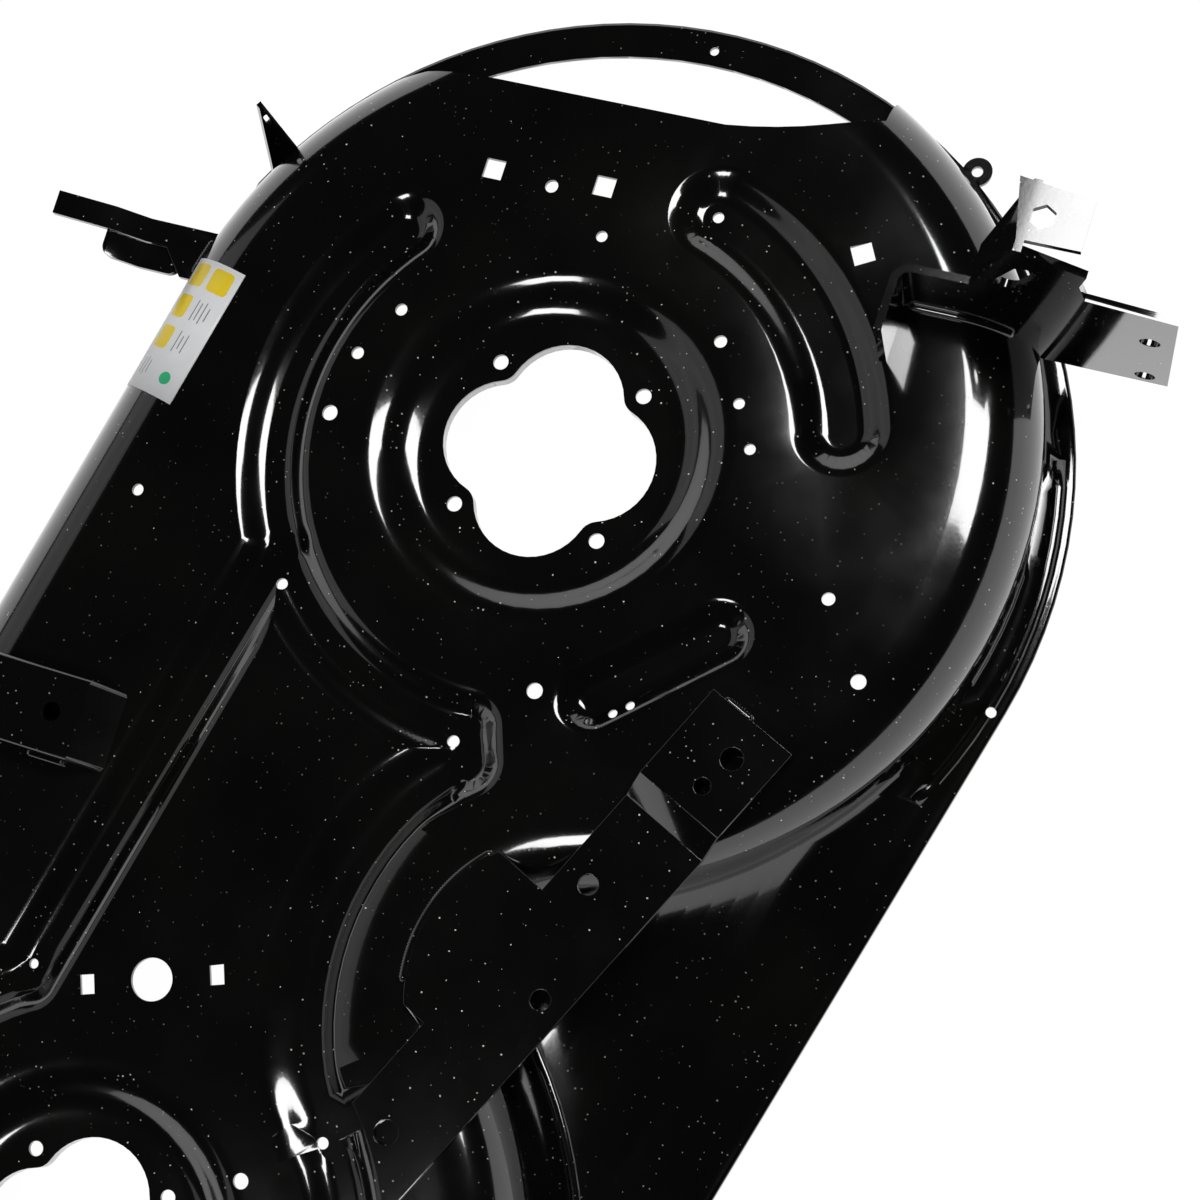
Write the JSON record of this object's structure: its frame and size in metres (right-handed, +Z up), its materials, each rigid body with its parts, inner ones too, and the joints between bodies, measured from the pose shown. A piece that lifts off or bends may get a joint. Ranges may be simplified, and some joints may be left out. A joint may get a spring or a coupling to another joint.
{
  "type": "lawn mower deck",
  "caption": "Pressed steel mower deck with sunk spindle seats, pressed channels, lobed openings, side discharge, bottom flange and welded brackets, coated gloss black.",
  "frame": {"origin": "middle of the right spindle's bolt square, on the upper face of its sunk seat", "axes": "+X to the side discharge, +Y to the front of the mower, +Z up"},
  "size_m": [1.0293, 0.6785, 0.1795],
  "materials": {
    "black_coat": "gloss",
    "coated_weld": "gloss",
    "sticker": "satin"
  },
  "bodies": {
    "root": {"deck_shell": "black_coat", "rear_plate": "black_coat", "rear_plate_arc_weld": "coated_weld", "rear_plate_end_weld": "coated_weld", "wheel_bracket": "black_coat", "wheel_bracket_weld": "coated_weld", "front_bracket": "black_coat", "front_bracket_weld": "coated_weld", "front_strap": "black_coat", "front_strap_weld": "coated_weld", "front_tab": "black_coat", "deck_label": "sticker"}
  },
  "joints": []
}
